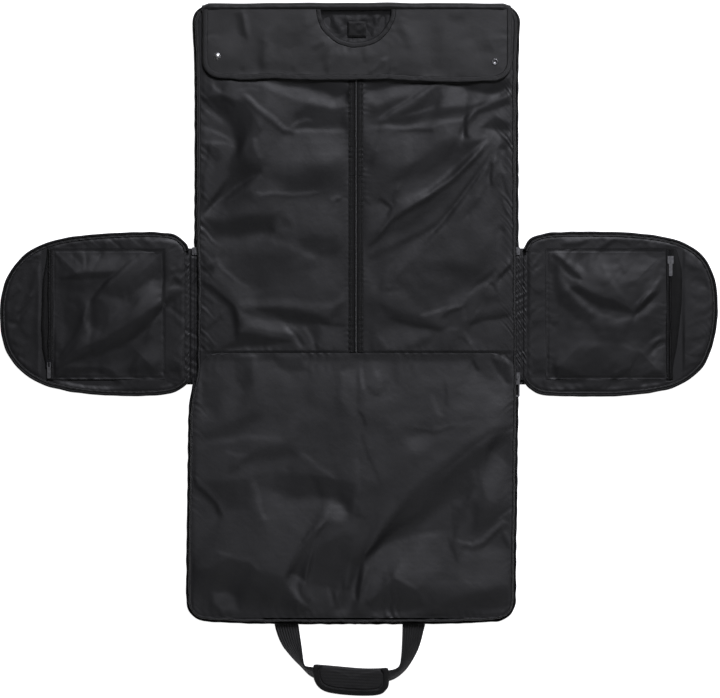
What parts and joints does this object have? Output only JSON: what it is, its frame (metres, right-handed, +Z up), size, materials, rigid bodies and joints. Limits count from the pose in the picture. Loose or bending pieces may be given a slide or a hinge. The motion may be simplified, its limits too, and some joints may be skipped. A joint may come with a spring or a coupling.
{
  "type": "garment duffel bag",
  "caption": "Soft garment bag that opens flat: zipped garment cover over a folding duffel body, D-shaped end panels, hanger flap with snaps, carry handle with wrap grip.",
  "frame": {"origin": "middle of the base panel's underside, the bag lying open and flat", "axes": "+X across the bag through the end panels, +Y towards the hanger end, +Z up out of the lining side"},
  "size_m": [1.217, 1.1799, 0.0269],
  "materials": {
    "shell_nylon": "coarse black nylon, padded",
    "lining_nylon": "thin black lining taffeta",
    "cover_nylon": "thin black nylon taffeta with a soft sheen",
    "flap_nylon": "black nylon twill, slightly lighter and satin",
    "binding": "black ribbed binding tape",
    "piping": "black piping cord in its cover",
    "zip_tape": "black zip tape and gathered border",
    "zip_coil": "black nylon coil on tape",
    "webbing": "black woven webbing",
    "grip_fabric": "black padded wrap with ribbed centre",
    "base_board": "stiffener board, sealed inside",
    "slider_metal": "grey metal zip slider",
    "pull_tab": "black pull",
    "snap_metal": "press snap, gunmetal and nickel"
  },
  "bodies": {
    "base": {"base_shell": "shell_nylon", "base_board": "base_board", "base_lining": "lining_nylon", "base_cover_left": "cover_nylon", "base_cover_right": "cover_nylon", "base_cover_lower": "cover_nylon", "base_centre_zip": "zip_coil", "base_borders": "zip_tape"},
    "upper_wall": {"upper_wall_shell": "shell_nylon", "upper_wall_lining": "lining_nylon", "upper_wall_cover_left": "cover_nylon", "upper_wall_cover_right": "cover_nylon", "upper_wall_centre_zip": "zip_coil", "upper_wall_side_zips": "zip_tape"},
    "upper_roof": {"upper_roof_shell": "shell_nylon", "upper_roof_lining": "lining_nylon", "upper_roof_cover_left": "cover_nylon", "upper_roof_cover_right": "cover_nylon", "upper_roof_centre_zip": "zip_coil", "upper_roof_edge_zip": "zip_tape", "snap_studs": "snap_metal", "hanger_tab": "webbing", "upper_handle_anchors": "webbing"},
    "lower_wall": {"lower_wall_shell": "shell_nylon", "lower_wall_lining": "lining_nylon", "lower_wall_cover": "cover_nylon", "lower_wall_side_zips": "zip_tape"},
    "lower_roof": {"lower_roof_shell": "shell_nylon", "lower_roof_lining": "lining_nylon", "lower_roof_cover": "cover_nylon", "lower_roof_edge_zip": "zip_tape", "lower_handle_anchors": "webbing"},
    "wing_left": {"wing_left_shell": "shell_nylon", "wing_left_piping": "piping", "wing_left_pocket": "cover_nylon", "wing_left_pocket_zip": "zip_coil"},
    "wing_right": {"wing_right_shell": "shell_nylon", "wing_right_piping": "piping", "wing_right_pocket": "cover_nylon", "wing_right_pocket_zip": "zip_coil"},
    "top_flap": {"top_flap_panel": "flap_nylon", "top_flap_binding": "binding", "snap_caps": "snap_metal"},
    "lower_handle": {"lower_handle_webbing": "webbing", "grip_pad": "grip_fabric"},
    "grip_wrap": {"grip_flap": "grip_fabric"},
    "upper_handle": {"upper_handle_webbing": "webbing"},
    "centre_zip_slider": {"centre_zip_slider": "slider_metal"},
    "wing_left_pocket_zip_slider": {"wing_left_pocket_zip_slider": "slider_metal"},
    "wing_right_pocket_zip_slider": {"wing_right_pocket_zip_slider": "slider_metal"},
    "side_zip_upper_left_slider": {"side_zip_upper_left_slider": "slider_metal"},
    "side_zip_upper_right_slider": {"side_zip_upper_right_slider": "slider_metal"},
    "side_zip_lower_left_slider": {"side_zip_lower_left_slider": "slider_metal"},
    "side_zip_lower_right_slider": {"side_zip_lower_right_slider": "slider_metal"},
    "end_zip_slider": {"end_zip_slider": "slider_metal"},
    "centre_zip_pull": {"centre_zip_pull": "pull_tab"},
    "wing_left_pocket_zip_pull": {"wing_left_pocket_zip_pull": "pull_tab"},
    "wing_right_pocket_zip_pull": {"wing_right_pocket_zip_pull": "pull_tab"},
    "side_zip_lower_left_pull": {"side_zip_lower_left_pull": "pull_tab"},
    "side_zip_lower_right_pull": {"side_zip_lower_right_pull": "pull_tab"}
  },
  "joints": [
    {"name": "upper_wall_fold", "type": "hinge", "parent": "base", "child": "upper_wall", "pos_m": [0, 0.14, 0.018], "axis": [1, 0, 0], "range_deg": [0, 90]},
    {"name": "upper_roof_fold", "type": "hinge", "parent": "upper_wall", "child": "upper_roof", "pos_m": [0, 0.33, 0.018], "axis": [1, 0, 0], "range_deg": [0, 45]},
    {"name": "lower_wall_fold", "type": "hinge", "parent": "base", "child": "lower_wall", "pos_m": [0, -0.14, 0.018], "axis": [-1, 0, 0], "range_deg": [0, 90]},
    {"name": "lower_roof_fold", "type": "hinge", "parent": "lower_wall", "child": "lower_roof", "pos_m": [0, -0.33, 0.018], "axis": [-1, 0, 0], "range_deg": [0, 45]},
    {"name": "wing_left_fold", "type": "hinge", "parent": "base", "child": "wing_left", "pos_m": [-0.284, 0, 0.018], "axis": [0, 1, 0], "range_deg": [0, 90]},
    {"name": "wing_right_fold", "type": "hinge", "parent": "base", "child": "wing_right", "pos_m": [0.284, 0, 0.018], "axis": [0, -1, 0], "range_deg": [0, 90]},
    {"name": "top_flap_hinge", "type": "hinge", "parent": "upper_roof", "child": "top_flap", "pos_m": [0, 0.521, 0.0262], "axis": [1, 0, 0], "range_deg": [-175, 0]},
    {"name": "lower_handle_swing", "type": "hinge", "parent": "lower_roof", "child": "lower_handle", "pos_m": [0, -0.522, 0], "axis": [1, 0, 0], "range_deg": [0, 165]},
    {"name": "upper_handle_swing", "type": "hinge", "parent": "upper_roof", "child": "upper_handle", "pos_m": [0, 0.522, 0], "axis": [-1, 0, 0], "range_deg": [-175, 0]},
    {"name": "grip_wrap_opening", "type": "hinge", "parent": "lower_handle", "child": "grip_wrap", "pos_m": [-0.00391, -0.64846, 0.00795], "axis": [-0.9986, 0.0523, 0], "range_deg": [-160, 0]},
    {"name": "centre_zip_run", "type": "slide", "parent": "upper_roof", "child": "centre_zip_slider", "axis": [0, 1, 0], "range_m": [-0.482, 0]},
    {"name": "wing_left_pocket_zip_run", "type": "slide", "parent": "wing_left", "child": "wing_left_pocket_zip_slider", "axis": [0, -1, 0], "range_m": [-0.182, 0]},
    {"name": "wing_right_pocket_zip_run", "type": "slide", "parent": "wing_right", "child": "wing_right_pocket_zip_slider", "axis": [0, 1, 0], "range_m": [-0.188, 0]},
    {"name": "side_zip_upper_left_run", "type": "slide", "parent": "base", "child": "side_zip_upper_left_slider", "axis": [0, -1, 0], "range_m": [-0.385, 0]},
    {"name": "side_zip_upper_right_run", "type": "slide", "parent": "base", "child": "side_zip_upper_right_slider", "axis": [0, -1, 0], "range_m": [-0.385, 0]},
    {"name": "side_zip_lower_left_run", "type": "slide", "parent": "base", "child": "side_zip_lower_left_slider", "axis": [0, 1, 0], "range_m": [-0.382, 0]},
    {"name": "side_zip_lower_right_run", "type": "slide", "parent": "base", "child": "side_zip_lower_right_slider", "axis": [0, 1, 0], "range_m": [-0.386, 0]},
    {"name": "end_zip_run", "type": "slide", "parent": "upper_roof", "child": "end_zip_slider", "axis": [1, 0, 0], "range_m": [-0.48, 0]},
    {"name": "centre_zip_pull_flip", "type": "hinge", "parent": "centre_zip_slider", "child": "centre_zip_pull", "pos_m": [0, 0.4336, 0.02135], "axis": [1, 0, 0], "range_deg": [-4, 0]},
    {"name": "wing_left_pocket_zip_pull_flip", "type": "hinge", "parent": "wing_left_pocket_zip_slider", "child": "wing_left_pocket_zip_pull", "pos_m": [-0.522, -0.0824, 0.01455], "axis": [1, 0, 0], "range_deg": [-170, 0]},
    {"name": "wing_right_pocket_zip_pull_flip", "type": "hinge", "parent": "wing_right_pocket_zip_slider", "child": "wing_right_pocket_zip_pull", "pos_m": [0.535, 0.0936, 0.01455], "axis": [1, 0, 0], "range_deg": [-170, 0]},
    {"name": "side_zip_lower_left_pull_flip", "type": "hinge", "parent": "side_zip_lower_left_slider", "child": "side_zip_lower_left_pull", "pos_m": [-0.274, -0.1084, 0.01245], "axis": [1, 0, 0], "range_deg": [-170, 0]},
    {"name": "side_zip_lower_right_pull_flip", "type": "hinge", "parent": "side_zip_lower_right_slider", "child": "side_zip_lower_right_pull", "pos_m": [0.274, -0.1044, 0.01245], "axis": [1, 0, 0], "range_deg": [-170, 0]}
  ]
}
